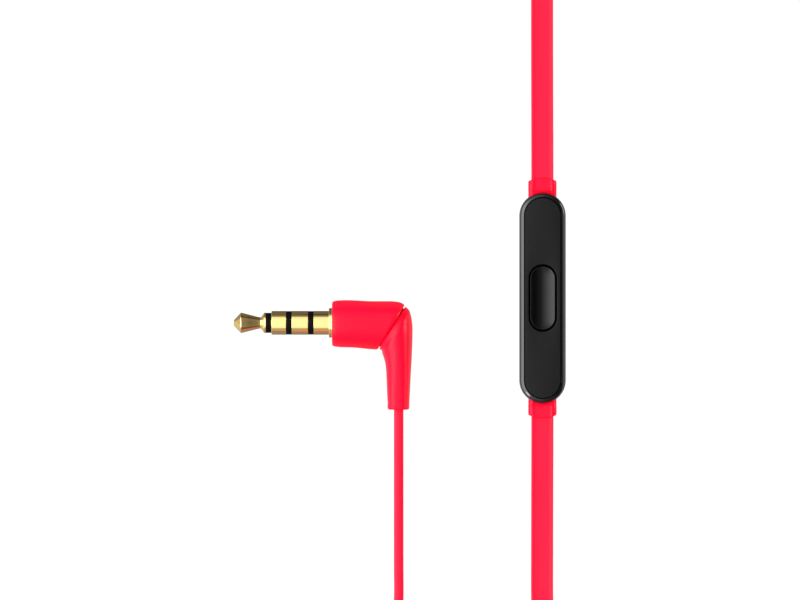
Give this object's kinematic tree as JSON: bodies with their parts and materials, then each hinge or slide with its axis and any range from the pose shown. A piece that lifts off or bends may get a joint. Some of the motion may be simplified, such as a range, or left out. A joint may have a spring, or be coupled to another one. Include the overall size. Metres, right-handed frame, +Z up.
{
  "type": "wired earphones",
  "caption": "Wired in-ear earphones on a flat cable, with an in-line button remote, a Y-splitter and a right-angle jack plug, laid out and coiled on a table.",
  "frame": {"origin": "centre of the remote's flat underside, on the table", "axes": "+Z up from the table, +Y along the remote towards the right earbud, +X to the right with the plug on the -X side"},
  "size_m": [0.0488, 0.2215, 0.012],
  "materials": {
    "plug_gold": "polished gold plate",
    "plug_black": "smooth",
    "inner_plastic": "moulded",
    "red_rubber": "satin elastomer",
    "gloss_black": "gloss",
    "satin_black": "satin",
    "gloss_red": "gloss",
    "steel": "stamped",
    "board": "solder mask",
    "soft_black": "matte",
    "mesh": "woven",
    "silicone": "satin silicone",
    "magnet": "nickel plate",
    "film": "film",
    "copper": "enamelled wire",
    "cable_red": "satin elastomer"
  },
  "bodies": {
    "body": {"plug_tip": "plug_gold", "plug_insulator_front": "plug_black", "plug_ring_front": "plug_gold", "plug_insulator_middle": "plug_black", "plug_ring_rear": "plug_gold", "plug_insulator_rear": "plug_black", "plug_sleeve": "plug_gold", "plug_inner_block": "inner_plastic", "plug_barrel_cover": "red_rubber", "plug_elbow_cover": "red_rubber", "remote_rear_shell": "gloss_black", "remote_front_shell": "gloss_black", "remote_face_plate": "satin_black", "switch_dome": "steel", "switch_body": "steel", "remote_circuit_board": "board", "microphone": "steel", "microphone_gasket": "soft_black", "remote_collar_upper": "red_rubber", "remote_collar_lower": "red_rubber", "splitter_shell_left": "gloss_black", "splitter_shell_right": "gloss_black", "splitter_joint_board": "board", "splitter_collar_main": "red_rubber", "splitter_collar_ear": "red_rubber", "right_rear_cap": "satin_black", "right_rear_housing": "gloss_black", "right_front_housing": "gloss_red", "right_nozzle_mesh": "mesh", "right_driver_frame": "steel", "right_driver_yoke": "steel", "right_driver_magnet": "magnet", "right_strain_relief": "red_rubber", "left_rear_cap": "satin_black", "left_rear_housing": "gloss_black", "left_front_housing": "gloss_red", "left_nozzle_mesh": "mesh", "left_driver_frame": "steel", "left_driver_yoke": "steel", "left_driver_magnet": "magnet", "left_strain_relief": "red_rubber", "main_cable_lead": "cable_red", "main_cable_coil": "cable_red", "main_cable_tail": "cable_red", "right_cable_head": "cable_red", "right_cable_coil": "cable_red", "right_cable_lower": "cable_red", "right_cable_upper": "cable_red", "left_cable_head": "cable_red", "left_cable_coil": "cable_red", "left_cable_end": "cable_red", "cable_ties": "soft_black"},
    "remote_button": {"remote_button": "gloss_black"},
    "right_tip": {"right_ear_tip": "silicone"},
    "left_tip": {"left_ear_tip": "silicone"},
    "right_cone": {"right_diaphragm": "film", "right_voice_coil": "copper"},
    "left_cone": {"left_diaphragm": "film", "left_voice_coil": "copper"}
  },
  "joints": [
    {"name": "button_press", "type": "slide", "parent": "body", "child": "remote_button", "axis": [0, 0, -1], "range_m": [0, 0.0003], "stiffness_N_per_m": 800, "deforming": ["switch_dome"]},
    {"name": "right_tip_off", "type": "slide", "parent": "body", "child": "right_tip", "axis": [1, 0, 0], "range_m": [0, 0.006]},
    {"name": "left_tip_off", "type": "slide", "parent": "body", "child": "left_tip", "axis": [1, 0, 0], "range_m": [0, 0.006]},
    {"name": "right_cone_stroke", "type": "slide", "parent": "body", "child": "right_cone", "axis": [1, 0, 0], "range_m": [-0.0001, 0.0001], "stiffness_N_per_m": 300},
    {"name": "left_cone_stroke", "type": "slide", "parent": "body", "child": "left_cone", "axis": [1, 0, 0], "range_m": [-0.0001, 0.0001], "stiffness_N_per_m": 300}
  ]
}
